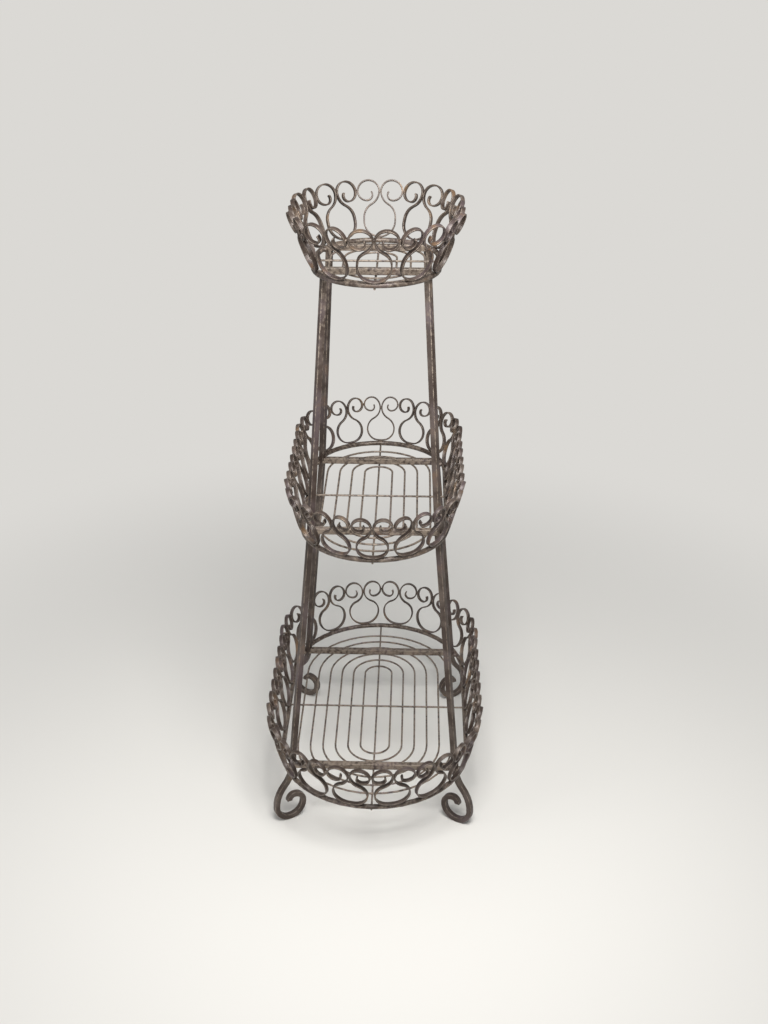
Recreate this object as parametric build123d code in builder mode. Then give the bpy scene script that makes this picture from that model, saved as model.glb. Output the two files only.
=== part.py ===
from build123d import *
from math import acos, asin, atan2, ceil, cos, degrees, hypot, pi, radians, sin, sqrt, tan
import os

# Oval basket stand of painted wrought iron: three oval baskets, one above the other, on four bent legs.
# Origin: on the floor, under the middle of the stand. X is its width, Y its length and Z is up.
# The baskets' rings, floor wires and scroll walls are welded up first. The legs pass through all
# three rings, touch them from inside, and end below the lowest one in rolled scroll feet.

# Rod and bar stock, in millimetres
RING_DIAMETER = 10.0
WIRE_DIAMETER = 4.0
BAR_SIZE = 12.0
LEG_SIZE = 11.0
STRIP_THICKNESS = 3.0
STRIP_WIDTH = 8.0

# Gaps left by the welds between pieces that touch on the real stand
LEG_GAP = 0.3
SCROLL_GAP = 0.25
NECK_GAP = 0.4

# Bottom basket: ring's height, half width and half of its straight side, and how far past that side
# the legs cross it, as a share of the half width; the wall's height and flare, the number of scrolls
# and their bulb's width; the floor wires' number, their inset from the ring, half of their straight
# side, and the half width of the innermost
BOTTOM_LEVEL = 123.0
BOTTOM_HALF_WIDTH = 190.0
BOTTOM_STRAIGHT = 147.0
BOTTOM_LEG_SHARE = 0.353
BOTTOM_WALL_HEIGHT = 108.0
BOTTOM_WALL_FLARE = 26.0
BOTTOM_SCROLLS = 22
BOTTOM_BULB_WIDTH = 72.0
BOTTOM_WIRE_COUNT = 6
BOTTOM_WIRE_INSET = 30.0
BOTTOM_WIRE_STRAIGHT = 133.0
BOTTOM_INNER_HALF_WIDTH = 30.0

# Middle basket
MIDDLE_LEVEL = 631.0
MIDDLE_HALF_WIDTH = 137.5
MIDDLE_STRAIGHT = 128.5
MIDDLE_LEG_SHARE = 0.244
MIDDLE_WALL_HEIGHT = 98.5
MIDDLE_WALL_FLARE = 29.0
MIDDLE_SCROLLS = 20
MIDDLE_BULB_WIDTH = 60.5
MIDDLE_WIRE_COUNT = 4
MIDDLE_WIRE_INSET = 31.0
MIDDLE_WIRE_STRAIGHT = 120.0
MIDDLE_INNER_HALF_WIDTH = 28.5

# Top basket
TOP_LEVEL = 1111.0
TOP_HALF_WIDTH = 114.0
TOP_STRAIGHT = 36.0
TOP_LEG_SHARE = 0.386
TOP_WALL_HEIGHT = 109.0
TOP_WALL_FLARE = 42.0
TOP_SCROLLS = 12
TOP_BULB_WIDTH = 63.0
TOP_WIRE_COUNT = 3
TOP_WIRE_INSET = 26.0
TOP_WIRE_STRAIGHT = 36.0
TOP_INNER_HALF_WIDTH = 36.0

# Scrolls: shares of the height where the bulb is widest and where neighbouring volutes touch, the
# volute's lead-in and inner turn as shares of its outer radius, and the angles of both turns
BULB_HEIGHT_SHARE = 0.26
TOUCH_SHARE = 0.83
LEAD_IN_SHARE = 1.6
CURL_SHARE = 0.8
LEAD_IN_ANGLE = 45.0
CURL_ANGLE = 170.0

# The strips are drawn in chords, none of which turns further than this
CHORD_ANGLE = 63.0

# Legs: bend at the middle ring, the feet's plane turned from the width, the foot's scroll, and how
# deep its sole is ground flat where it stands on the floor
LEG_BEND_RADIUS = 300.0
FOOT_TURN = 30.0
FOOT_REACH = 39.0
FOOT_HEEL_RADIUS = 26.0
FOOT_TOE_RADIUS = 27.0
FOOT_CROWN_RADIUS = 22.0
FOOT_TIP_RADIUS = 14.0
SOLE_DEPTH = 0.6

# A cross bar's sawn end stops this far short of the leg's centre line before the leg is cut from it
BAR_END_SETBACK = 1.1

# Flats that stand for a ring's round section, and chords that stand for each half turn of an oval
RING_SIDES = 8
RING_CHORDS = 12
WIRE_CHORDS = 9

# Times the leg's place at a ring is worked out anew from its turned section, until it holds still
SEATING_STEPS = 6


class Basket:
    """One basket's sizes, with the heights of its floor worked out from the stock."""

    def __init__(self, name, level, half_width, straight, leg_share, wall, scrolls, bulb, wires):
        self.name = name
        self.level = level
        self.half_width = half_width
        self.straight = straight
        self.leg_y = straight + leg_share * half_width
        self.wall_height, self.wall_flare = wall
        self.scrolls, self.first_scroll = scrolls
        self.bulb_width = bulb
        self.wires, self.wire_inset, self.wire_straight, self.inner_half_width = wires
        self.floor = level - RING_DIAMETER / 2 + WIRE_DIAMETER / 2
        self.bar_level = self.floor + WIRE_DIAMETER / 2 + BAR_SIZE / 2


# On the bottom basket two scrolls meet in the middle of each end, and on the others one stands there
BASKETS = (
    Basket(
        "bottom",
        BOTTOM_LEVEL,
        BOTTOM_HALF_WIDTH,
        BOTTOM_STRAIGHT,
        BOTTOM_LEG_SHARE,
        (BOTTOM_WALL_HEIGHT, BOTTOM_WALL_FLARE),
        (BOTTOM_SCROLLS, 0.5),
        BOTTOM_BULB_WIDTH,
        (BOTTOM_WIRE_COUNT, BOTTOM_WIRE_INSET, BOTTOM_WIRE_STRAIGHT, BOTTOM_INNER_HALF_WIDTH),
    ),
    Basket(
        "middle",
        MIDDLE_LEVEL,
        MIDDLE_HALF_WIDTH,
        MIDDLE_STRAIGHT,
        MIDDLE_LEG_SHARE,
        (MIDDLE_WALL_HEIGHT, MIDDLE_WALL_FLARE),
        (MIDDLE_SCROLLS, 0.0),
        MIDDLE_BULB_WIDTH,
        (MIDDLE_WIRE_COUNT, MIDDLE_WIRE_INSET, MIDDLE_WIRE_STRAIGHT, MIDDLE_INNER_HALF_WIDTH),
    ),
    Basket(
        "top",
        TOP_LEVEL,
        TOP_HALF_WIDTH,
        TOP_STRAIGHT,
        TOP_LEG_SHARE,
        (TOP_WALL_HEIGHT, TOP_WALL_FLARE),
        (TOP_SCROLLS, 0.0),
        TOP_BULB_WIDTH,
        (TOP_WIRE_COUNT, TOP_WIRE_INSET, TOP_WIRE_STRAIGHT, TOP_INNER_HALF_WIDTH),
    ),
)

os.makedirs("parts", exist_ok=True)


def save(piece, name):
    """Label a finished piece and write its STEP file."""
    piece.label = name
    export_step(piece, f"parts/{name}.step")
    return piece


# Ovals: two straight sides and two half circles, each drawn in equal chords that touch it from outside
def oval_points(half_width, straight, chords):
    """The corners of an oval's centre line, counterclockwise from the front end of its right side."""
    corner = half_width / cos(pi / chords / 2)
    points = []
    for end, first_angle in ((straight, 0), (-straight, pi)):
        for chord in range(chords):
            angle = first_angle + (chord + 0.5) * pi / chords
            points.append((corner * cos(angle), end + corner * sin(angle)))
    return points


def oval_rod(half_width, straight, level, section, chords):
    """A rod bent to an oval, with the given flat section, at a height."""
    with BuildPart() as rod:
        with BuildLine(Plane.XY.offset(level)):
            Polyline((half_width, 0), *oval_points(half_width, straight, chords), close=True)
        with BuildSketch(Plane(origin=(half_width, 0, level), x_dir=(1, 0, 0), z_dir=(0, 1, 0))):
            add(section)
        sweep(transition=Transition.RIGHT)
    return rod.part


# Rings of round rod, drawn with eight flats
with BuildSketch() as ring_section:
    RegularPolygon(RING_DIAMETER / 2, RING_SIDES)

rings = {}
for basket in BASKETS:
    ring = oval_rod(
        basket.half_width, basket.straight, basket.level, ring_section.sketch, RING_CHORDS
    )
    rings[basket.name] = save(ring, f"{basket.name}_ring")


# Legs
def leg_point(basket):
    """Where a leg's centre line crosses a ring's level, with the leg touching the ring from inside."""
    past_side = basket.leg_y - basket.straight
    inside = basket.half_width - RING_DIAMETER / 2 - LEG_GAP
    reach = inside - LEG_SIZE / 2
    for _ in range(SEATING_STEPS):
        corner = asin(past_side / reach) - radians(FOOT_TURN)
        reach = inside - LEG_SIZE / 2 * (abs(cos(corner)) + abs(sin(corner)))
    return Vector(sqrt(reach**2 - past_side**2), basket.leg_y, basket.level)


ring_points = [leg_point(basket) for basket in BASKETS]
lower_run = (ring_points[1] - ring_points[0]).normalized()
upper_run = (ring_points[2] - ring_points[1]).normalized()
leg_top = ring_points[2] + upper_run * (RING_DIAMETER / 2 / upper_run.Z)


def leg_at(height):
    """The leg's centre line at a height between two rings."""
    base, run = ring_points[0], lower_run
    if height > ring_points[1].Z:
        base, run = ring_points[1], upper_run
    return base + run * ((height - base.Z) / run.Z)


# The foot is rolled in a plane that holds the lower run of the leg and points out and lengthwise
foot_out = Vector(cos(radians(FOOT_TURN)), sin(radians(FOOT_TURN)), 0)
foot_side = foot_out.cross(lower_run).normalized()
foot_plane = Plane(origin=ring_points[0], x_dir=foot_out, z_dir=foot_side)
foot_up = foot_plane.y_dir
lean = atan2(-lower_run.dot(foot_out), lower_run.dot(foot_up))


def foot_line():
    """The foot's centre line in its own plane, from the ring down: outwards, back and rolled up."""
    lowest_corner = LEG_SIZE / 2 * (foot_up.Z + abs(foot_side.Z))
    depth = (ring_points[0].Z - lowest_corner + SOLE_DEPTH) / foot_up.Z
    drop = depth - FOOT_HEEL_RADIUS
    # Two equal arcs lead from the leg's lean to straight down at the foot's outermost point
    sway = atan2(FOOT_REACH, drop) + acos(
        (drop * (1 + cos(lean)) + FOOT_REACH * sin(lean)) / (2 * hypot(FOOT_REACH, drop))
    )
    radius = drop / (2 * sin(sway) - sin(lean))
    with BuildLine() as line:
        out = JernArc((0, 0), (sin(lean), -cos(lean)), radius, degrees(sway - lean))
        back = JernArc(out @ 1, out % 1, radius, -degrees(sway))
        heel = JernArc(back @ 1, back % 1, FOOT_HEEL_RADIUS, -90)
        toe = JernArc(heel @ 1, heel % 1, FOOT_TOE_RADIUS, -90)
        crown = JernArc(toe @ 1, toe % 1, FOOT_CROWN_RADIUS, -90)
        JernArc(crown @ 1, crown % 1, FOOT_TIP_RADIUS, -90)
    return line.line


with BuildPart() as rear_right_leg:
    section_plane = Plane(origin=ring_points[0], x_dir=foot_side, z_dir=lower_run)
    with BuildSketch(section_plane):
        Rectangle(LEG_SIZE, LEG_SIZE)
    with BuildLine():
        FilletPolyline(ring_points[0], ring_points[1], leg_top, radius=LEG_BEND_RADIUS)
    sweep()
    with BuildSketch(section_plane):
        Rectangle(LEG_SIZE, LEG_SIZE)
    sweep(path=foot_plane.from_local_coords(foot_line()))
    # The sole
    split(bisect_by=Plane.XY, keep=Keep.TOP)
with BuildPart() as rear_left_leg:
    mirror(rear_right_leg.part, about=Plane.YZ)
with BuildPart() as front_right_leg:
    mirror(rear_right_leg.part, about=Plane.XZ)
with BuildPart() as front_left_leg:
    mirror(rear_left_leg.part, about=Plane.XZ)

save(rear_right_leg.part, "upright_rear_right")
save(rear_left_leg.part, "upright_rear_left")
save(front_right_leg.part, "upright_front_right")
save(front_left_leg.part, "upright_front_left")


# Cross bars on top of the floor wires, cut to the legs' faces
def cross_bar(basket, legs, side):
    """A square bar between two legs, at the front (side -1) or the rear (side 1) of a basket."""
    place = leg_at(basket.bar_level)
    length = 2 * (place.X - BAR_END_SETBACK)
    with BuildPart() as bar:
        with Locations((0, side * place.Y, basket.bar_level)):
            Box(length, BAR_SIZE, BAR_SIZE)
        for leg in legs:
            add(leg.part, mode=Mode.SUBTRACT)
    return bar.part


for basket in BASKETS:
    save(cross_bar(basket, (front_left_leg, front_right_leg), -1), f"{basket.name}_front_bar")
    save(cross_bar(basket, (rear_left_leg, rear_right_leg), 1), f"{basket.name}_rear_bar")


# Floor wires: nested ovals under the bars, one wire across on top of them and one lengthwise below
with BuildSketch() as wire_section:
    Rectangle(WIRE_DIAMETER, WIRE_DIAMETER)

for basket in BASKETS:
    outer_half_width = basket.half_width - basket.wire_inset
    pitch = (outer_half_width - basket.inner_half_width) / (basket.wires - 1)
    for number in range(basket.wires):
        half_width = outer_half_width - number * pitch
        wire = oval_rod(
            half_width, basket.wire_straight, basket.floor, wire_section.sketch, WIRE_CHORDS
        )
        save(wire, f"{basket.name}_floor_wire_{number + 1}")

    with BuildPart() as across_wire:
        with Locations((0, 0, basket.floor + WIRE_DIAMETER)):
            Box(2 * basket.half_width, WIRE_DIAMETER, WIRE_DIAMETER)
        add(rings[basket.name], mode=Mode.SUBTRACT)
    save(across_wire.part, f"{basket.name}_across_wire")

    with BuildPart() as lengthwise_wire:
        with Locations((0, 0, basket.floor - WIRE_DIAMETER)):
            Box(WIRE_DIAMETER, 2 * (basket.half_width + basket.straight), WIRE_DIAMETER)
    save(lengthwise_wire.part, f"{basket.name}_lengthwise_wire")


# Scroll walls: each scroll is one flat strip, bent to a bulb with a volute rolled outwards on each side
def bend(stations, radius, turn):
    """Carry a line on round an arc in equal chords. A station is a point and its heading."""
    x, y, heading = stations[-1]
    side = 1 if turn > 0 else -1
    centre_x = x - side * radius * sin(heading)
    centre_y = y + side * radius * cos(heading)
    chords = ceil(abs(turn) / radians(CHORD_ANGLE))
    for chord in range(1, chords + 1):
        now = heading + turn * chord / chords
        stations.append(
            (centre_x + side * radius * sin(now), centre_y - side * radius * cos(now), now)
        )


def scroll_outline(slant, half_width, bulb_half):
    """The closed outline of a scroll's strip, from its foot on the ring up to the slant height."""
    foot = RING_DIAMETER / 2 + SCROLL_GAP + STRIP_THICKNESS / 2
    neck = (STRIP_THICKNESS + NECK_GAP) / 2
    lead_in = radians(LEAD_IN_ANGLE)
    volute = (half_width - neck) / (LEAD_IN_SHARE * (1 - cos(lead_in)) + 1 + cos(lead_in))
    neck_height = (
        slant - STRIP_THICKNESS / 2 - volute * (1 + (LEAD_IN_SHARE - 1) * sin(lead_in))
    )
    widest = BULB_HEIGHT_SHARE * slant
    bulb_radius = widest - foot
    sway = 2 * atan2(bulb_half - neck, neck_height - widest)
    side_radius = (neck_height - widest) / (2 * sin(sway))

    right = [(0, foot, 0), (bulb_half - bulb_radius, foot, 0)]
    bend(right, bulb_radius, pi / 2)
    bend(right, side_radius, sway)
    bend(right, side_radius, -sway)
    bend(right, LEAD_IN_SHARE * volute, -lead_in)
    bend(right, volute, lead_in - pi)
    bend(right, CURL_SHARE * volute, -radians(CURL_ANGLE))
    left = [(-x, y, -heading) for x, y, heading in reversed(right[1:])]

    half = STRIP_THICKNESS / 2
    stations = left + right[1:]
    inner = [(x - half * sin(heading), y + half * cos(heading)) for x, y, heading in stations]
    outer = [(x + half * sin(heading), y - half * cos(heading)) for x, y, heading in stations]
    return inner + outer[::-1]


def around_oval(radius, straight, distance):
    """Outward angle and its circle's centre, at a distance round an oval from its front end's middle."""
    quarter = pi * radius / 2
    side = 2 * straight
    if distance < quarter:
        return distance / radius - pi / 2, -straight
    if distance < quarter + side:
        return 0, distance - quarter - straight
    if distance < 3 * quarter + side:
        return (distance - quarter - side) / radius, straight
    if distance < 3 * quarter + 2 * side:
        return pi, straight - (distance - 3 * quarter - side)
    return pi + (distance - 3 * quarter - 2 * side) / radius, -straight


def scroll_wall(basket):
    """One scroll and the frames of all the scrolls of a basket, grouped by the side they stand on."""
    tilt = atan2(basket.wall_flare, basket.wall_height)
    slant = (basket.wall_height - STRIP_WIDTH / 2 * sin(tilt)) / cos(tilt)
    # The scrolls are spaced at the height where their volutes touch
    radius = basket.half_width + basket.wall_flare * TOUCH_SHARE
    length = 2 * pi * radius + 4 * basket.straight
    pitch = length / basket.scrolls
    at_end = (radius - STRIP_WIDTH / 2) * tan(pitch / radius / 2)
    half_width = min(pitch / 2, at_end) - SCROLL_GAP - STRIP_THICKNESS / 2

    with BuildPart() as scroll:
        with BuildSketch():
            with BuildLine():
                Polyline(
                    scroll_outline(slant, half_width, (basket.bulb_width - STRIP_THICKNESS) / 2),
                    close=True,
                )
            make_face()
        extrude(amount=STRIP_WIDTH / 2, both=True)

    frames = {"front": [], "right": [], "rear": [], "left": []}
    for number in range(basket.scrolls):
        distance = ((number + basket.first_scroll) * pitch) % length
        angle, centre_y = around_oval(radius, basket.straight, distance)
        outward = Vector(cos(angle), sin(angle), 0)
        along = Vector(-sin(angle), cos(angle), 0)
        up = outward * sin(tilt) + Vector(0, 0, cos(tilt))
        place = outward * basket.half_width + Vector(0, centre_y, basket.level)
        if angle in (0, pi):
            side = "right" if angle == 0 else "left"
        else:
            side = "rear" if outward.Y > 0 else "front"
        frames[side].append(Plane(origin=place, x_dir=along, z_dir=along.cross(up)))
    return scroll.part, frames


for basket in BASKETS:
    scroll, frames = scroll_wall(basket)
    for side, planes in frames.items():
        with BuildPart() as wall:
            with Locations(*planes):
                add(scroll)
        save(wall.part, f"{basket.name}_{side}_scrolls")
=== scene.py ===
# %% [markdown]
# # A three-tier basket stand of wrought iron
#
# Three oval baskets of bent rod and scrolled strip hang between four square legs, which end in rolled
# scroll feet. A smith makes such a stand from straight stock: each bar is pulled out, bent round a
# former and welded. The meshes here are made in the same order, so each bar is one section whose end
# face is extruded for a straight run and spun for a bend. That keeps every piece a real bent bar, round
# and smooth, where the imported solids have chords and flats.

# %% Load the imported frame
from math import acos, asin, atan2, ceil, cos, degrees, hypot, pi, radians, sin, sqrt, tan

import bmesh
import bpy
from mathutils import Matrix, Vector


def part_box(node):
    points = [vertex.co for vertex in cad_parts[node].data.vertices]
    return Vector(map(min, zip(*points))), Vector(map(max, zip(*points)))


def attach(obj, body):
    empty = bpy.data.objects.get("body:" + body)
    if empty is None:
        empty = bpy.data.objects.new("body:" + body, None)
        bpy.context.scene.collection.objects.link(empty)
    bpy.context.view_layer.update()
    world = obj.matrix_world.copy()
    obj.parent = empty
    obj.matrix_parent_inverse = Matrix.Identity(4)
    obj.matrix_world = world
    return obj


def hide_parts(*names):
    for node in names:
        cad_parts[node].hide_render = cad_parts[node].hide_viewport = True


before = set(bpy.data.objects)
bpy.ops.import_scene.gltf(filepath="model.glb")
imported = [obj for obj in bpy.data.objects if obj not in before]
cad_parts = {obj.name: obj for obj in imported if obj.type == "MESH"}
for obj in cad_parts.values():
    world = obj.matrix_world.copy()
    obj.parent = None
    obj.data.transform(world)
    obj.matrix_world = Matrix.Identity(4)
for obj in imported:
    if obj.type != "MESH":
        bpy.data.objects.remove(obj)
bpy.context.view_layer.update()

MM = 0.001

# %% [markdown]
# ## Stock and sizes
#
# Only four kinds of stock are in the stand: square bar for the legs and the bars between them, round
# rod for the rings, thin round wire for the floors and flat strip for the scrolls. The sizes of rings,
# wires and cross bars are read from the frame, so that the looks follow the solids. Legs and strips
# are turned and bent, so no box shows their section, and it is named here. The gaps are the small
# clearances that the welds bridge.

# %% Stock sizes
LEG_SIZE = 11 * MM
STRIP_THICKNESS = 3 * MM
STRIP_WIDTH = 8 * MM
LEG_GAP = 0.3 * MM
SCROLL_GAP = 0.25 * MM
NECK_GAP = 0.4 * MM


class Basket:
    """One basket: its oval ring as the frame has it, and the sizes that shape its legs and scrolls."""

    def __init__(self, name, leg_share, wall, scrolls, bulb, lead_in_share):
        low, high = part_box(f"{name}_ring")
        self.name = name
        self.rod = (high.z - low.z) / 2
        self.level = (high.z + low.z) / 2
        self.half_width = high.x - self.rod
        self.straight = high.y - high.x
        self.leg_y = self.straight + leg_share * self.half_width
        self.wall_height, self.wall_flare = (size * MM for size in wall)
        self.scrolls, self.first_scroll = scrolls
        self.bulb_width, self.bulb_widest = (size * MM for size in bulb)
        self.lead_in_share = lead_in_share


# A leg's share is how far past the straight side it stands, over the half width. In millimetres, a wall
# has its height and flare, and a bulb its width and the height where it is widest. Scrolls are their
# number, and how many pitches the first is from the front's middle. The lead-in share is the radius
# that leads into a volute, over the volute's own.
BASKETS = (
    Basket(
        "bottom", leg_share=0.353, wall=(108, 26), scrolls=(22, 0.5), bulb=(72, 38), lead_in_share=1.3
    ),
    Basket(
        "middle", leg_share=0.244, wall=(98.5, 29), scrolls=(20, 0), bulb=(60.5, 31.5), lead_in_share=1.6
    ),
    Basket("top", leg_share=0.386, wall=(109, 42), scrolls=(12, 0), bulb=(63, 44), lead_in_share=1.0),
)
for basket in BASKETS:
    print(basket.name, "ring level", round(basket.level, 4), "half width", round(basket.half_width, 4))

# %% [markdown]
# ## Bending bar
#
# A bar's end is a small set of axes: left, normal and heading. Pulling extrudes the selected end face
# along the heading, and curling spins it about the normal. Both leave the new end face selected, so the
# calls follow each other like the steps at the anvil. The spin operator turns clockwise for a positive
# angle, so its angle is given with the sign changed.

# %% Tools for bending bar
# A bend turns this far in one step, and even a slight bend has this many steps
BEND_STEP = radians(9)
LEAST_BEND_STEPS = 5


def deselect():
    """Select nothing, so that the next operator acts on the new piece alone."""
    bpy.ops.object.select_all(action="DESELECT")


def end_axes(point, left, heading):
    """The axes at a bar's end, as a matrix whose columns are left, normal, heading and the place."""
    heading = Vector(heading).normalized()
    left = Vector(left).normalized()
    axes = Matrix((left, heading.cross(left), heading)).transposed().to_4x4()
    axes.translation = point
    return axes


def pull(end, length):
    """Extrude the end face straight on. Returns the new end's axes."""
    step = end.col[2].xyz * length
    bpy.ops.mesh.extrude_region_move(TRANSFORM_OT_translate={"value": step})
    return Matrix.Translation(step) @ end


def curl(end, radius, turn):
    """Spin the end face round an arc, to the left for a positive turn. Returns the new end's axes."""
    normal = end.col[1].xyz
    side = 1 if turn > 0 else -1
    centre = end.translation + end.col[0].xyz * radius * side
    steps = max(LEAST_BEND_STEPS, ceil(abs(turn) / BEND_STEP))
    bpy.ops.mesh.spin(steps=steps, angle=-turn, center=centre, axis=normal)
    about = Matrix.Translation(centre) @ Matrix.Rotation(turn, 4, normal)
    return about @ Matrix.Translation(-centre) @ end


def ease_end(width):
    """Bevel the rim of the selected end face, as a file takes the edge off a sawn bar."""
    bpy.ops.mesh.bevel(offset=width, segments=2, affect="EDGES")


print("a quarter turn is bent in", round(pi / 2 / BEND_STEP), "steps")

# %% [markdown]
# Each kind of stock starts as a flat primitive with one face, lying across the heading. Square bar and
# strip come from the mill with slightly rounded corners, so the corner points are bevelled before
# anything is extruded. Each side is divided as well, so that the wear and the painted highlight on a
# corner fade out a short way along the side and not over all of it.

# %% Start a bar of each kind of stock
SAME_PLACE = 0.01 * MM


def place_section(name, end):
    """Move the new section to the bar's end and go to edit mode with its face selected."""
    piece = bpy.context.object
    piece.name = name
    piece.data.name = name
    piece.data.transform(end)
    bpy.ops.object.mode_set(mode="EDIT")
    bpy.ops.mesh.select_mode(type="FACE")
    bpy.ops.mesh.select_all(action="SELECT")
    return piece


def start_round(name, end, radius, sides):
    """A round section, ready to be pulled and curled."""
    deselect()
    bpy.ops.mesh.primitive_circle_add(vertices=sides, radius=radius, fill_type="NGON")
    return place_section(name, end)


def start_flat(name, end, across, along, corner, cuts):
    """A square or flat section with rounded corners: across lies to the left, along on the normal."""
    deselect()
    bpy.ops.mesh.primitive_plane_add(size=1)
    piece = bpy.context.object
    piece.data.transform(Matrix.Diagonal((across, along, 1, 1)))
    bpy.ops.object.mode_set(mode="EDIT")
    bpy.ops.mesh.select_all(action="SELECT")
    bpy.ops.mesh.subdivide(number_cuts=cuts)
    bpy.ops.mesh.dissolve_faces()
    bpy.ops.mesh.select_mode(type="VERT")
    bpy.ops.mesh.select_all(action="DESELECT")
    mesh = bmesh.from_edit_mesh(piece.data)
    for vertex in mesh.verts:
        at_side = abs(abs(vertex.co.x) - across / 2) < SAME_PLACE
        at_end = abs(abs(vertex.co.y) - along / 2) < SAME_PLACE
        vertex.select = at_side and at_end
    mesh.select_flush(True)
    bmesh.update_edit_mesh(piece.data)
    bpy.ops.mesh.bevel(offset=corner, segments=2, affect="VERTICES")
    bpy.ops.object.mode_set(mode="OBJECT")
    return place_section(name, end)


print("points nearer than", round(SAME_PLACE / MM, 3), "mm count as one place")

# %% [markdown]
# Welds show as small lumps where pieces touch: the smith melts a bead on, and the paint rounds it off.
# One lump is modelled from an icosphere whose points are pushed about a little, and every bead on the
# stand is a copy of it with its own size, turned by the place it sits on.

# %% The weld bead
BEAD_UNEVENNESS = 0.22
BEAD_SMOOTHING = 0.4
BEAD_SEED = 7

deselect()
bpy.ops.mesh.primitive_ico_sphere_add(subdivisions=2, radius=1)
bead = bpy.context.object
bead.name = "bead_pattern"
bpy.ops.object.mode_set(mode="EDIT")
bpy.ops.mesh.select_all(action="SELECT")
bpy.ops.transform.vertex_random(offset=BEAD_UNEVENNESS, uniform=0.4, normal=0.6, seed=BEAD_SEED)
bpy.ops.mesh.vertices_smooth(factor=BEAD_SMOOTHING)
bpy.ops.object.mode_set(mode="OBJECT")
print("bead with", len(bead.data.polygons), "faces")


def weld(axes, size):
    """A bead at a place: size is its half length along each of the place's three axes."""
    mesh = bead.data.copy()
    mesh.transform(axes @ Matrix.Diagonal((*size, 1)))
    lump = bpy.data.objects.new("weld", mesh)
    bpy.context.scene.collection.objects.link(lump)
    return lump


def upright_axes(point, heading):
    """Axes at a point on a level seam that runs along the heading."""
    heading = Vector(heading).normalized()
    return end_axes(point, Vector((0, 0, 1)).cross(heading), heading)


# %% [markdown]
# ## Finishing a piece
#
# Spinning and extruding can leave a shell inside out, and a closed ring has two end faces on each other
# to take away. So every piece has its doubles merged and its normals recalculated, is shaded smooth up
# to a sharp edge, and is joined with its beads. How sharply the surface turns at each point is kept in
# an attribute, which the paint reads to wear through there and to paint a highlight on the edge.

# %% Finish and hand over a piece
# An edge that turns by the wear and highlight angle, in radians, starts to wear and take a painted
# highlight, and at twice that it is fully worn and fully highlighted
SMOOTH_UP_TO = radians(50)
MERGE_DISTANCE = 0.02 * MM
WEAR_AND_HIGHLIGHT_ANGLE = 0.22

finished = {"frame_bars": [], "rings_and_wires": [], "scroll_strips": []}


def close_shell(piece):
    """Merge doubled points and turn every face outwards."""
    bpy.ops.object.mode_set(mode="EDIT")
    bpy.ops.mesh.select_all(action="SELECT")
    bpy.ops.mesh.remove_doubles(threshold=MERGE_DISTANCE)
    bpy.ops.mesh.normals_make_consistent(inside=False)
    bpy.ops.object.mode_set(mode="OBJECT")
    return piece


def copy_of(piece, name, placement):
    """A copy with its own mesh, moved by a matrix, with its faces still outwards if it is mirrored."""
    mesh = piece.data.copy()
    mesh.transform(placement)
    if placement.determinant() < 0:
        mesh.flip_normals()
    twin = bpy.data.objects.new(name, mesh)
    bpy.context.scene.collection.objects.link(twin)
    return twin


def join(pieces):
    """Join pieces into the first one."""
    deselect()
    for piece in pieces:
        piece.select_set(True)
    bpy.context.view_layer.objects.active = pieces[0]
    bpy.ops.object.join()
    return pieces[0]


def mark_wear_and_highlight(piece):
    """Write how sharply the surface turns outwards at each point, from 0 on a flat to 1 on an edge."""
    mesh = bmesh.new()
    mesh.from_mesh(piece.data)
    # How far the enamel is rubbed thin here, which is also how strongly an edge highlight is painted
    wear_and_highlight = piece.data.attributes.new("edge_wear_and_highlight", "FLOAT", "POINT")
    values = []
    for vertex in mesh.verts:
        turn = max((edge.calc_face_angle_signed(0) for edge in vertex.link_edges), default=0)
        values.append(min(max(turn / WEAR_AND_HIGHLIGHT_ANGLE - 1, 0), 1))
    wear_and_highlight.data.foreach_set("value", values)
    mesh.free()


def hand_over(pieces, node, slot):
    """Join, shade and name a piece, and let it stand for its CAD node."""
    piece = join(pieces)
    piece.name = f"{node}_iron"
    piece.data.name = piece.name
    bpy.ops.object.shade_smooth_by_angle(angle=SMOOTH_UP_TO)
    mark_wear_and_highlight(piece)
    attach(piece, "root")
    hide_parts(node)
    finished[slot].append(piece)


print("slots of the record:", list(finished))

# %% [markdown]
# ## Rings and oval wires
#
# A ring is one rod, bent at both ends of its long straight sides. It starts at the front end of the
# right side and goes once round. The two faces that meet there are deleted and their points merged,
# because the real rod is welded into an endless oval.

# %% Bend an oval
MEETING_DISTANCE = 0.2 * MM


def bend_oval(name, half_width, straight, level, radius, sides):
    """An endless oval of round rod: two straight sides and two half circles."""
    start = Vector((half_width, -straight, level))
    end = end_axes(start, (-1, 0, 0), (0, 1, 0))
    piece = start_round(name, end, radius, sides)
    for _ in range(2):
        end = pull(end, 2 * straight)
        end = curl(end, half_width, pi)
    bpy.ops.mesh.select_all(action="DESELECT")
    mesh = bmesh.from_edit_mesh(piece.data)
    for face in mesh.faces:
        face.select = (face.calc_center_median() - start).length < MEETING_DISTANCE
    bmesh.update_edit_mesh(piece.data)
    bpy.ops.mesh.delete(type="ONLY_FACE")
    bpy.ops.object.mode_set(mode="OBJECT")
    return close_shell(piece)


print("faces within", round(MEETING_DISTANCE / MM, 2), "mm of an oval's start are its two ends")

# %% Rings
RING_SECTION_SIDES = 16

for basket in BASKETS:
    node = f"{basket.name}_ring"
    ring = bend_oval(
        node, basket.half_width, basket.straight, basket.level, basket.rod, RING_SECTION_SIDES
    )
    hand_over([ring], node, "rings_and_wires")
    print(node, len(ring.data.polygons), "faces")

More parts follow.
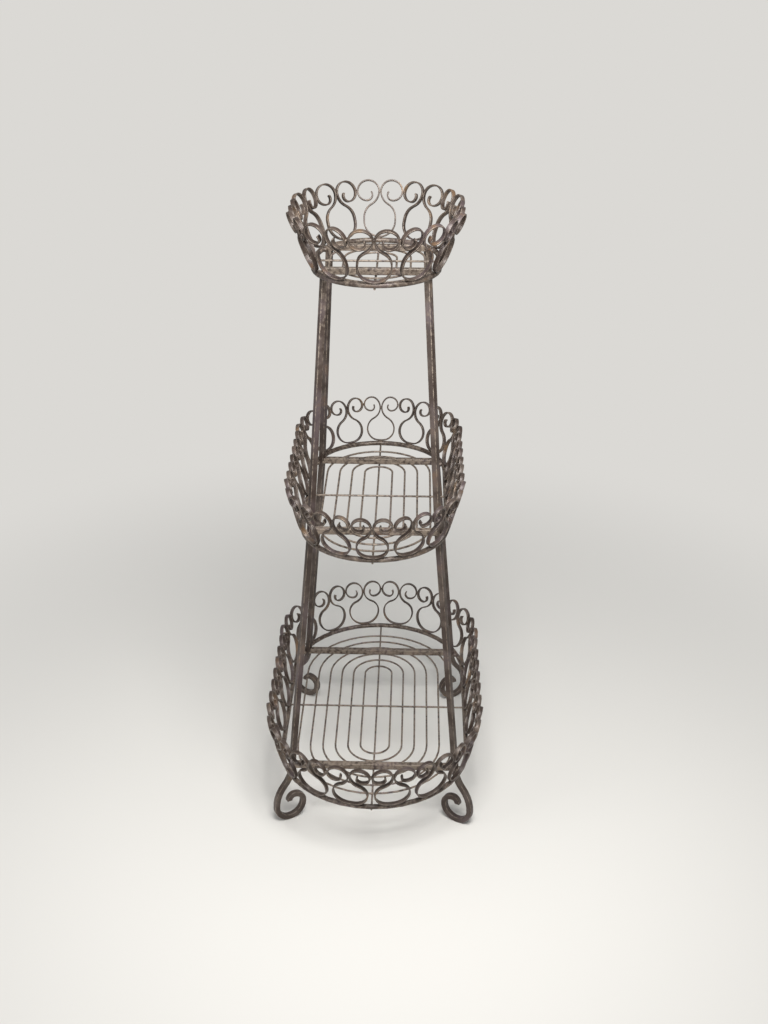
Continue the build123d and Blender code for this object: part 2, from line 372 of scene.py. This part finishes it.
# %% [markdown]
# The floor of each basket is a nest of smaller ovals. One wire crosses on top of them from ring to
# ring, and one runs lengthwise below them and below the ring, and every crossing is spot welded. The
# solids' ovals are drawn in nine chords to a half turn, which touch the round oval from outside and
# meet in a corner at each end of it. That corner stands out by the cosine of half a chord's angle, and
# the straight side's length is found by taking it off again.

# %% Floor wires
WIRE_SECTION_SIDES = 10
HALF_CHORD = pi / 18

wire_rows = {}
for basket in BASKETS:
    wire_rows[basket.name] = []
    nodes = sorted(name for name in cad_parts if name.startswith(f"{basket.name}_floor_wire"))
    for node in nodes:
        low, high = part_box(node)
        radius = (high.z - low.z) / 2
        half_width = high.x - radius
        straight = high.y - high.x / cos(HALF_CHORD)
        level = (high.z + low.z) / 2
        wire = bend_oval(node, half_width, straight, level, radius, WIRE_SECTION_SIDES)
        wire_rows[basket.name].append((half_width, straight, level, radius))
        hand_over([wire], node, "rings_and_wires")
    print(basket.name, "floor has", len(nodes), "oval wires")

# %% Wires across and lengthwise, with their spot welds
SPOT_SIZE = (2.6 * MM, 2.2 * MM, 2.6 * MM)
WIRE_EDGE_SHARE = 0.25


def straight_wire(node, axis, spots):
    """A straight wire that fills its node's box along an axis, with a spot weld at each place given."""
    low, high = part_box(node)
    middle = (low + high) / 2
    radius = (high.z - low.z) / 2
    reach = (high - low).dot(axis) / 2
    start = middle - axis * reach
    end = end_axes(start, Vector((0, 0, 1)).cross(axis), axis)
    wire = start_round(node, end, radius, WIRE_SECTION_SIDES)
    pull(end, 2 * reach)
    ease_end(radius * WIRE_EDGE_SHARE)
    bpy.ops.object.mode_set(mode="OBJECT")
    close_shell(wire)
    beads = [weld(upright_axes(spot, axis), SPOT_SIZE) for spot in spots]
    hand_over([wire, *beads], node, "rings_and_wires")
    print(node, "with", len(beads), "spot welds")


for basket in BASKETS:
    across_spots = []
    lengthwise_spots = []
    for half_width, straight, level, radius in wire_rows[basket.name]:
        for side in (-1, 1):
            across_spots.append(Vector((side * half_width, 0, level + radius)))
            lengthwise_spots.append(Vector((0, side * (straight + half_width), level - radius)))
    for side in (-1, 1):
        across_spots.append(Vector((side * (basket.half_width - basket.rod), 0, level + 2 * radius)))
    straight_wire(f"{basket.name}_across_wire", Vector((1, 0, 0)), across_spots)
    straight_wire(f"{basket.name}_lengthwise_wire", Vector((0, 1, 0)), lengthwise_spots)

# %% [markdown]
# ## Legs
#
# A leg is one square bar: straight between the rings, with a slight bend at the middle one, then swept
# out below the bottom ring and rolled up into a scroll that the stand rests on. The foot is rolled in a
# plane that is turned towards the stand's middle. The leg touches each ring from inside, so its place
# there follows from the ring's radius and from how far its turned square reaches.

# %% Where the legs cross the rings
FOOT_TURN = radians(30)
SEATING_STEPS = 6


def leg_point(basket):
    """Where the rear right leg's centre line crosses a ring's level."""
    past_side = basket.leg_y - basket.straight
    inside = basket.half_width - basket.rod - LEG_GAP
    reach = inside - LEG_SIZE / 2
    # How far the turned square reaches depends on where it stands, so both are found step by step
    for _ in range(SEATING_STEPS):
        corner = asin(past_side / reach) - FOOT_TURN
        reach = inside - LEG_SIZE / 2 * (abs(cos(corner)) + abs(sin(corner)))
    return Vector((sqrt(reach**2 - past_side**2), basket.leg_y, basket.level))


ring_points = [leg_point(basket) for basket in BASKETS]
lower_run = (ring_points[1] - ring_points[0]).normalized()
upper_run = (ring_points[2] - ring_points[1]).normalized()
leg_top = ring_points[2] + upper_run * (BASKETS[2].rod / upper_run.z)
print("leg crosses the rings at", [tuple(round(value, 4) for value in point) for point in ring_points])

# %% [markdown]
# The foot's sway is two arcs of one radius, out and back, that end heading straight down at the foot's
# outermost place. Their radius and angles follow from the drop and the reach. Heel, toe, crown and tip
# are quarter turns, and the last two get tighter and tighter, as round a scroll former. The sole is
# ground flat, so the foot goes a little below the floor and is cut off there.

# %% Model the rear right leg
# The radii are those of heel, toe, crown and tip
LEG_BEND_RADIUS = 300 * MM
FOOT_REACH = 39 * MM
SOLE_DEPTH = 0.6 * MM
FOOT_RADII = (28 * MM, 31 * MM, 19 * MM, 12 * MM)
LEG_CORNER = 0.9 * MM
LEG_SIDE_CUTS = 5
CUT_TOLERANCE = 0.001 * MM


def select_end_face(piece, point):
    """Select only the face whose middle is nearest to a point."""
    bpy.ops.mesh.select_all(action="DESELECT")
    mesh = bmesh.from_edit_mesh(piece.data)
    nearest = min(mesh.faces, key=lambda face: (face.calc_center_median() - point).length)
    nearest.select = True
    bmesh.update_edit_mesh(piece.data)


foot_out = Vector((cos(FOOT_TURN), sin(FOOT_TURN), 0))
foot_side = foot_out.cross(lower_run).normalized()
foot_up = foot_side.cross(foot_out)
lean = atan2(-lower_run.dot(foot_out), lower_run.dot(foot_up))
lowest_corner = LEG_SIZE / 2 * (foot_up.z + abs(foot_side.z))
drop = (ring_points[0].z - lowest_corner + SOLE_DEPTH) / foot_up.z - FOOT_RADII[0]
sway = atan2(FOOT_REACH, drop) + acos(
    (drop * (1 + cos(lean)) + FOOT_REACH * sin(lean)) / (2 * hypot(FOOT_REACH, drop))
)
sway_radius = drop / (2 * sin(sway) - sin(lean))

knee_turn = upper_run.angle(lower_run)
knee_axis = upper_run.cross(lower_run).normalized()
knee_length = LEG_BEND_RADIUS * tan(knee_turn / 2)
side_above = Matrix.Rotation(-knee_turn, 3, knee_axis) @ foot_side

end = end_axes(leg_top, side_above, -upper_run)
leg = start_flat("leg_pattern", end, LEG_SIZE, LEG_SIZE, LEG_CORNER, LEG_SIDE_CUTS)
end = end_axes(leg_top, knee_axis.cross(-upper_run), -upper_run)
end = pull(end, (leg_top - ring_points[1]).length - knee_length)
end = curl(end, LEG_BEND_RADIUS, knee_turn)
end = pull(end, (ring_points[1] - ring_points[0]).length - knee_length)
end = end_axes(end.translation, foot_side.cross(-lower_run), -lower_run)
end = curl(end, sway_radius, sway - lean)
end = curl(end, sway_radius, -sway)
for radius in FOOT_RADII:
    end = curl(end, radius, -pi / 2)
ease_end(LEG_CORNER)
select_end_face(leg, leg_top)
ease_end(LEG_CORNER)
bpy.ops.mesh.select_all(action="SELECT")
bpy.ops.mesh.bisect(
    plane_co=(0, 0, 0), plane_no=(0, 0, 1), clear_inner=True, use_fill=True, threshold=CUT_TOLERANCE
)
bpy.ops.object.mode_set(mode="OBJECT")
close_shell(leg)
print("leg with", len(leg.data.polygons), "faces, from", round(leg_top.z, 4), "to the floor")

# %% [markdown]
# Where a leg passes a ring, the smith fills the corner between them on both sides, which leaves a
# lumpy weld. The beads lie to each side of the place where they touch, and are added to the leg before
# it is mirrored to the other three corners.

# %% Weld the leg to the rings and mirror it
RING_WELD_SPREAD = 4.5 * MM
RING_WELD_SIZE = (4.2 * MM, 5.6 * MM, 6.4 * MM)
CORNERS = {
    "rear_right": (1, 1),
    "rear_left": (-1, 1),
    "front_right": (1, -1),
    "front_left": (-1, -1),
}

beads = []
for basket, point in zip(BASKETS, ring_points):
    outward = Vector((point.x, point.y - basket.straight, 0)).normalized()
    along = Vector((0, 0, 1)).cross(outward)
    contact = Vector((0, basket.straight, basket.level)) + outward * (basket.half_width - basket.rod)
    for side in (-1, 1):
        spot = contact + along * side * RING_WELD_SPREAD
        beads.append(weld(upright_axes(spot, along), RING_WELD_SIZE))
leg = join([leg, *beads])

for corner, (x_side, y_side) in CORNERS.items():
    node = f"upright_{corner}"
    twin = copy_of(leg, node, Matrix.Diagonal((x_side, y_side, 1, 1)))
    hand_over([twin], node, "frame_bars")
bpy.data.objects.remove(leg)
print("four legs with", len(beads), "welds each")

# %% [markdown]
# ## Cross bars
#
# A square bar joins the two front legs and another the two rear legs, on top of the floor wires of
# each basket. It is sawn to length and welded between the legs, so it fills the box of its node, with
# a bead above and below at each end.

# %% Model the cross bars
BAR_CORNER = 1.0 * MM
BAR_SIDE_CUTS = 5
BAR_WELD_SIZE = (3.2 * MM, 2.4 * MM, 6.0 * MM)
BAR_WELD_INSET = 1.5 * MM

for basket in BASKETS:
    for side in ("front", "rear"):
        node = f"{basket.name}_{side}_bar"
        low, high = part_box(node)
        middle = (low + high) / 2
        size = high.z - low.z
        end = end_axes(Vector((low.x, middle.y, middle.z)), (0, 1, 0), (1, 0, 0))
        bar = start_flat(node, end, size, size, BAR_CORNER, BAR_SIDE_CUTS)
        pull(end, high.x - low.x)
        bpy.ops.object.mode_set(mode="OBJECT")
        close_shell(bar)
        beads = []
        for x_side in (-1, 1):
            for z_side in (-1, 1):
                spot = middle + Vector((x_side * (high.x - BAR_WELD_INSET), 0, z_side * size / 2))
                beads.append(weld(upright_axes(spot, (0, 1, 0)), BAR_WELD_SIZE))
        hand_over([bar, *beads], node, "frame_bars")
        print(node, "spans", round(high.x - low.x, 4))

# %% [markdown]
# ## Scroll walls
#
# Every wall is a row of equal scrolls. One scroll is a flat strip: a round bulb that stands on the
# ring, a neck where its two sides nearly touch, and a volute rolled outwards on each side. Its line
# leans into the wall's slope, so it is drawn flat first, from the height of the slope and the room to
# its neighbours. Only the right half is bent, and the left one is its mirror image, as the smith bends
# both ends round the same former.

# %% Bend one scroll
# A volute's inner end is curled in steps, each with its share of the volute's radius and its turn
CURL_STEPS = ((0.85, radians(95)), (0.5, radians(125)))
LEAD_IN_ANGLE = radians(45)
STRIP_CORNER = 0.6 * MM
STRIP_SIDE_CUTS = 1
LEAST_PULL = 0.1 * MM


def bend_scroll(basket, slant, half_width):
    """One scroll, flat on the XY plane with its foot at the origin. Returns it and its weld heights."""
    foot = basket.rod + SCROLL_GAP + STRIP_THICKNESS / 2
    neck = (STRIP_THICKNESS + NECK_GAP) / 2
    lead_in = basket.lead_in_share
    volute = (half_width - neck) / (lead_in * (1 - cos(LEAD_IN_ANGLE)) + 1 + cos(LEAD_IN_ANGLE))
    volute_height = slant - STRIP_THICKNESS / 2 - volute
    neck_height = volute_height - (lead_in - 1) * volute * sin(LEAD_IN_ANGLE)
    bulb_half = (basket.bulb_width - STRIP_THICKNESS) / 2
    bulb_radius = min(basket.bulb_widest - foot, bulb_half)
    rise = neck_height - basket.bulb_widest
    sway = 2 * atan2(bulb_half - neck, rise)
    side_radius = rise / (2 * sin(sway))

    start = Vector((0, foot, 0))
    end = end_axes(start, (0, 1, 0), (1, 0, 0))
    name = f"{basket.name}_scroll_pattern"
    scroll = start_flat(name, end, STRIP_THICKNESS, STRIP_WIDTH, STRIP_CORNER, STRIP_SIDE_CUTS)
    end = pull(end, max(bulb_half - bulb_radius, LEAST_PULL))
    end = curl(end, bulb_radius, pi / 2)
    end = pull(end, max(basket.bulb_widest - foot - bulb_radius, LEAST_PULL))
    end = curl(end, side_radius, sway)
    end = curl(end, side_radius, -sway)
    end = curl(end, lead_in * volute, -LEAD_IN_ANGLE)
    end = curl(end, volute, LEAD_IN_ANGLE - pi)
    for share, turn in CURL_STEPS:
        end = curl(end, share * volute, -turn)
    ease_end(STRIP_CORNER)
    select_end_face(scroll, start)
    bpy.ops.mesh.delete(type="ONLY_FACE")
    bpy.ops.object.mode_set(mode="OBJECT")
    mirror = scroll.modifiers.new("other half", "MIRROR")
    mirror.merge_threshold = MERGE_DISTANCE
    bpy.ops.object.modifier_apply(modifier=mirror.name)
    close_shell(scroll)
    return scroll, neck_height, volute_height


inner_turn = sum(turn for _, turn in CURL_STEPS)
print("a volute's inner end is curled by", round(degrees(inner_turn)), "degrees")

# %% [markdown]
# The scrolls are spaced where their volutes touch, and that line is the ring's oval set outwards by
# most of the wall's flare. Walking along it from the middle of the front end gives each scroll's
# direction, and the wall's lean tilts the scroll outwards.

# %% Places round the basket
TOUCH_SHARE = 0.83


def around_oval(radius, straight, distance):
    """Outward angle and its circle's centre, at a distance round an oval from its front end's middle."""
    quarter = pi * radius / 2
    side = 2 * straight
    if distance < quarter:
        return distance / radius - pi / 2, -straight
    if distance < quarter + side:
        return 0, distance - quarter - straight
    if distance < 3 * quarter + side:
        return (distance - quarter - side) / radius, straight
    if distance < 3 * quarter + 2 * side:
        return pi, straight - (distance - 3 * quarter - side)
    return pi + (distance - 3 * quarter - 2 * side) / radius, -straight


def side_of(angle):
    """Which of a basket's four walls a scroll belongs to."""
    if angle in (0, pi):
        return "right" if angle == 0 else "left"
    return "rear" if 0 < angle < pi else "front"


print("volutes touch at", TOUCH_SHARE, "of the wall's flare")

# %% [markdown]
# Three kinds of welds hold a wall together: one under each bulb on the ring, one in each neck, and one
# where two volutes touch. They go onto the scroll before it is copied, so each copy brings its own.

# %% Set up the walls
FOOT_WELD_SIZE = (2.2 * MM, 3.2 * MM, 5.5 * MM)
NECK_WELD_SIZE = (1.5 * MM, 3.4 * MM, 3.6 * MM)
TOUCH_WELD_SIZE = (1.5 * MM, 3.2 * MM, 3.0 * MM)

for basket in BASKETS:
    tilt = atan2(basket.wall_flare, basket.wall_height)
    slant = (basket.wall_height - STRIP_WIDTH / 2 * sin(tilt)) / cos(tilt)
    radius = basket.half_width + basket.wall_flare * TOUCH_SHARE
    length = 2 * pi * radius + 4 * basket.straight
    pitch = length / basket.scrolls
    at_end = (radius - STRIP_WIDTH / 2) * tan(pitch / radius / 2)
    half_width = min(pitch / 2, at_end) - SCROLL_GAP - STRIP_THICKNESS / 2
    scroll, neck_height, touch_height = bend_scroll(basket, slant, half_width)
    beads = [
        weld(end_axes(Vector((0, basket.rod, 0)), (0, 1, 0), (1, 0, 0)), FOOT_WELD_SIZE),
        weld(end_axes(Vector((0, neck_height, 0)), (1, 0, 0), (0, 1, 0)), NECK_WELD_SIZE),
    ]
    touch = Vector((half_width + STRIP_THICKNESS / 2, touch_height, 0))
    beads.append(weld(end_axes(touch, (1, 0, 0), (0, 1, 0)), TOUCH_WELD_SIZE))
    scroll = join([scroll, *beads])

    walls = {"front": [], "right": [], "rear": [], "left": []}
    for number in range(basket.scrolls):
        distance = ((number + basket.first_scroll) * pitch) % length
        angle, centre_y = around_oval(radius, basket.straight, distance)
        outward = Vector((cos(angle), sin(angle), 0))
        along = Vector((-sin(angle), cos(angle), 0))
        up = outward * sin(tilt) + Vector((0, 0, cos(tilt)))
        place = Matrix((along, up, along.cross(up))).transposed().to_4x4()
        place.translation = outward * basket.half_width + Vector((0, centre_y, basket.level))
        side = side_of(angle % (2 * pi))
        walls[side].append(copy_of(scroll, f"{basket.name}_{side}_scroll", place))
    for side, scrolls in walls.items():
        hand_over(scrolls, f"{basket.name}_{side}_scrolls", "scroll_strips")
    print(basket.name, "wall:", {side: len(scrolls) for side, scrolls in walls.items()})
    bpy.data.objects.remove(scroll)
bpy.data.objects.remove(bead)

# %% [markdown]
# ## Paint
#
# The iron is brushed with a satin enamel in a dark bronze brown, and wiped over with thinner glazes
# while wet: a warm grey, a golden rust and a violet grey, in patches a few centimetres wide. So the eye
# reads old bronze, not one brown. The enamel lies on hammered, slightly scaly iron, which gives the
# soft dents and the grain. It has thinned on the edges, where a lighter brown shows, and that lighter
# brown is also a painted highlight along every sharp edge. One helper makes a colour linear, one adds a
# node with its settings and links, and one lays a glaze.

# %% Node helpers
def linear(colour):
    """Turn an sRGB hex colour into linear values by the standard curve."""
    channels = [int(colour[place : place + 2], 16) / 255 for place in (1, 3, 5)]
    return [c / 12.92 if c <= 0.04045 else ((c + 0.055) / 1.055) ** 2.4 for c in channels] + [1]


def add_node(tree, kind, settings=None, **inputs):
    """Add a node, set its properties, and set or link its inputs."""
    node = tree.nodes.new(kind)
    for name, value in (settings or {}).items():
        setattr(node, name, value)
    for name, value in inputs.items():
        key = int(name[1:]) if name[0] == "i" and name[1:].isdigit() else name.replace("_", " ")
        if isinstance(value, bpy.types.NodeSocket):
            tree.links.new(value, node.inputs[key])
        else:
            node.inputs[key].default_value = value
    return node


def glaze(tree, under, patches, colour, start, full, strength):
    """Lay a thin glaze over a colour where a pattern is above start, at full strength above full."""
    share = add_node(
        tree,
        "ShaderNodeMapRange",
        {"interpolation_type": "SMOOTHSTEP"},
        Value=patches,
        From_Min=start,
        From_Max=full,
        To_Min=0,
        To_Max=strength,
    )
    mix = add_node(
        tree, "ShaderNodeMix", {"data_type": "RGBA"}, i0=share.outputs[0], i6=under, i7=linear(colour)
    )
    return mix.outputs[2]


print("mid grey as a shader takes it:", round(linear("#808080")[0], 3))

# %% [markdown]
# All three slots have the same enamel, but the glazes lie differently: the square bars are wiped
# evenly, and the thin strips catch more of the golden one. Each pattern's size is given in millimetres
# and turned into the scale of a noise, which is one over that size in metres. The real grain is finer
# than the view can show, so it is drawn coarser, at 1.4 mm.

# %% The colours and sizes of the enamel
# A glaze has its colour, the values of its pattern where it starts and is full, and its strength. The
# golden glaze has no strength here, because that differs from slot to slot.
BRONZE_BROWN = "#3D312A"
WARM_GREY = ("#5F544C", 0.40, 0.62, 0.85)
VIOLET_GREY = ("#52454A", 0.50, 0.68, 0.55)
GOLDEN_RUST = ("#7A5C39", 0.56, 0.72)
DARK_GRAIN = ("#231B16", 0.55, 0.75, 0.45)
# Lighter brown on edges: enamel rubbed thin, and also a painted highlight on every sharp edge
THIN_EDGE_AND_HIGHLIGHT = ("#968879", 0.30, 0.62, 0.65)
PATCH_SIZE = 45 * MM
CLOUD_SIZE = 90 * MM
DENT_SIZE = 7 * MM
GRAIN_SIZE = 1.4 * MM
DENT_DEPTH = 0.9 * MM
GRAIN_DEPTH = 0.25 * MM
NOISE_ROUGHNESS = 0.55
# The roughness goes from the first value to the second as the pattern of dents does
DENT_PATTERN = (0.3, 0.7)
SATIN_ROUGHNESS = (0.36, 0.54)
print("patches", round(PATCH_SIZE / MM), "mm, dents", round(DENT_SIZE / MM), "mm across")

# %% [markdown]
# Paint is no metal, but this one has a little metal powder in it, so metallic is low. A satin enamel is
# neither mirror nor chalk: its roughness is 0.36 in the dents' hollows and up to 0.54 on their crests,
# and the index of refraction keeps the default, which is a paint's.

# %% The enamel
def noise(tree, position, size, detail):
    """A noise whose lumps are about a real size across."""
    node = add_node(
        tree,
        "ShaderNodeTexNoise",
        Vector=position,
        Scale=1 / size,
        Detail=detail,
        Roughness=NOISE_ROUGHNESS,
    )
    return node.outputs["Fac"]


def bronze_enamel(name, gold, offset):
    """Satin enamel on hammered iron, glazed with grey, gold and violet, edges rubbed thin and painted
    highlit.
    """
    material = bpy.data.materials.new(name)
    material.use_nodes = True
    tree = material.node_tree
    tree.nodes.clear()
    coordinates = add_node(tree, "ShaderNodeTexCoord")
    shifted = add_node(
        tree, "ShaderNodeMapping", Vector=coordinates.outputs["Object"], Location=(offset, 0, 0)
    )
    position = shifted.outputs[0]
    patches = noise(tree, position, PATCH_SIZE, detail=3)
    clouds = noise(tree, position, CLOUD_SIZE, detail=2)
    dents = noise(tree, position, DENT_SIZE, detail=2)
    grain = noise(tree, position, GRAIN_SIZE, detail=3)
    wisps = noise(tree, position, CLOUD_SIZE / 2, detail=4)

    colour = glaze(tree, linear(BRONZE_BROWN), patches, *WARM_GREY)
    colour = glaze(tree, colour, clouds, *VIOLET_GREY)
    colour = glaze(tree, colour, wisps, *GOLDEN_RUST, gold)
    colour = glaze(tree, colour, grain, *DARK_GRAIN)
    # Sharp edges get a lighter brown: enamel rubbed thin, and a painted edge highlight
    worn_and_highlit = add_node(tree, "ShaderNodeAttribute", {"attribute_name": "edge_wear_and_highlight"})
    broken = add_node(
        tree, "ShaderNodeMath", {"operation": "MULTIPLY"}, i0=worn_and_highlit.outputs["Fac"], i1=dents
    )
    colour = glaze(tree, colour, broken.outputs[0], *THIN_EDGE_AND_HIGHLIGHT)

    gloss = add_node(
        tree,
        "ShaderNodeMapRange",
        Value=dents,
        From_Min=DENT_PATTERN[0],
        From_Max=DENT_PATTERN[1],
        To_Min=SATIN_ROUGHNESS[0],
        To_Max=SATIN_ROUGHNESS[1],
    )
    hammer = add_node(tree, "ShaderNodeBump", Strength=0.5, Distance=DENT_DEPTH, Height=dents)
    skin = add_node(
        tree,
        "ShaderNodeBump",
        Strength=0.35,
        Distance=GRAIN_DEPTH,
        Height=grain,
        Normal=hammer.outputs[0],
    )
    shader = add_node(
        tree,
        "ShaderNodeBsdfPrincipled",
        Base_Color=colour,
        Metallic=0.2,
        Roughness=gloss.outputs[0],
        Normal=skin.outputs[0],
    )
    add_node(tree, "ShaderNodeOutputMaterial", Surface=shader.outputs[0])
    return material


GOLD_SHARES = {"frame_bars": 0.35, "rings_and_wires": 0.3, "scroll_strips": 0.6}
for number, (slot, pieces) in enumerate(finished.items()):
    enamel = bronze_enamel(f"bronze_enamel_{slot}", GOLD_SHARES[slot], number)
    for piece in pieces:
        piece.data.materials.append(enamel)
    print(slot, "on", len(pieces), "pieces")

# %% [markdown]
# ## Studio
#
# A wide pale floor fills the view behind the stand, because the camera looks down on it. Near the stand
# it is matt paper that takes the light and the shadow. Further out it turns, for the camera alone, into
# the plain colour of the sky behind it, so no horizon shows and no light is added. The lamps are one
# soft box in front of and above the top basket and a weaker one from the side: the nearer baskets are
# to the soft box, the lighter they are, and the undersides of the bars stay dark.

# %% Floor
# The floor's size, and how far out it starts to turn plain and is all plain, in metres
FLOOR_SIZE = 60
PAPER_FROM = 0.45
PAPER_TO = 1.7
PALE = "#DBD9D5"
PAPER = "#DDDAD4"

deselect()
bpy.ops.mesh.primitive_plane_add(size=FLOOR_SIZE, location=(0, 0, 0))
floor = bpy.context.object
floor.name = "studio_floor"
paper = bpy.data.materials.new("matt_studio_paper")
paper.use_nodes = True
tree = paper.node_tree
tree.nodes.clear()
place = add_node(tree, "ShaderNodeTexCoord")
distance = add_node(
    tree, "ShaderNodeVectorMath", {"operation": "LENGTH"}, Vector=place.outputs["Object"]
)
far = add_node(
    tree,
    "ShaderNodeMapRange",
    {"interpolation_type": "SMOOTHSTEP"},
    Value=distance.outputs["Value"],
    From_Min=PAPER_FROM,
    From_Max=PAPER_TO,
)
path = add_node(tree, "ShaderNodeLightPath")
plain = add_node(
    tree,
    "ShaderNodeMath",
    {"operation": "MULTIPLY"},
    i0=far.outputs[0],
    i1=path.outputs["Is Camera Ray"],
)
matt = add_node(tree, "ShaderNodeBsdfPrincipled", Base_Color=linear(PAPER), Roughness=0.9)
backdrop = add_node(tree, "ShaderNodeEmission", Color=linear(PALE), Strength=1)
mixed = add_node(
    tree, "ShaderNodeMixShader", i0=plain.outputs[0], i1=matt.outputs[0], i2=backdrop.outputs[0]
)
add_node(tree, "ShaderNodeOutputMaterial", Surface=mixed.outputs[0])
floor.data.materials.append(paper)
print("floor", FLOOR_SIZE, "m across, plain from", PAPER_TO, "m out")

# %% Light
# Each lamp has its place and size in metres, and its power in watts
LAMPS = {
    "top_softbox": ((0.2, -1.05, 2.08), 0.9, 50),
    "side_softbox": ((-2.4, -1.6, 1.6), 1.2, 16),
}
STAND_MIDDLE = Vector((0, 0, 0.6))
SKY_STRENGTH = 0.42
SKY_LIGHT = "#E9ECEF"

for name, (place, size, power) in LAMPS.items():
    data = bpy.data.lights.new(name, "AREA")
    data.size = size
    data.energy = power
    lamp = bpy.data.objects.new(name, data)
    lamp.location = place
    lamp.rotation_euler = (STAND_MIDDLE - lamp.location).to_track_quat("-Z", "Y").to_euler()
    bpy.context.scene.collection.objects.link(lamp)

world = bpy.data.worlds.new("pale_sky")
world.use_nodes = True
tree = world.node_tree
tree.nodes.clear()
path = add_node(tree, "ShaderNodeLightPath")
seen = add_node(tree, "ShaderNodeBackground", Color=linear(PALE), Strength=1)
shining = add_node(tree, "ShaderNodeBackground", Color=linear(SKY_LIGHT), Strength=SKY_STRENGTH)
sky = add_node(
    tree,
    "ShaderNodeMixShader",
    i0=path.outputs["Is Camera Ray"],
    i1=shining.outputs[0],
    i2=seen.outputs[0],
)
add_node(tree, "ShaderNodeOutputWorld", Surface=sky.outputs[0])
bpy.context.scene.world = world
bpy.context.scene.view_settings.view_transform = "Standard"
print("lamps", {name: f"{power} W" for name, (_, _, power) in LAMPS.items()})

# %% [markdown]
# The camera stands in front of the stand's narrow end, a little to the right, 1.8 m above the floor,
# and looks down. Its focal length is 1320 pixels in a picture that is 1024 pixels high.

# %% Camera
EYE = Vector((0.0719, -2.3757, 1.786))
LOOK_TURN = radians(1.39)
LOOK_DOWN = radians(26.6)
ROLL = radians(0.2)
FOCAL_PIXELS = 1320
PICTURE_HEIGHT = 1024
SENSOR = 36

heading = Vector((-sin(LOOK_TURN), cos(LOOK_TURN), 0))
forward = heading * cos(LOOK_DOWN) - Vector((0, 0, sin(LOOK_DOWN)))
right = heading.cross(Vector((0, 0, 1)))
view = Matrix((right, right.cross(forward), -forward)).transposed()
data = bpy.data.cameras.new("eye")
data.sensor_fit = "AUTO"
data.sensor_width = SENSOR
data.lens = SENSOR * FOCAL_PIXELS / PICTURE_HEIGHT
camera = bpy.data.objects.new("eye", data)
camera.matrix_world = Matrix.Translation(EYE) @ view.to_4x4() @ Matrix.Rotation(ROLL, 4, "Z")
bpy.context.scene.collection.objects.link(camera)
bpy.context.scene.camera = camera
print("lens", round(data.lens, 2), "mm")
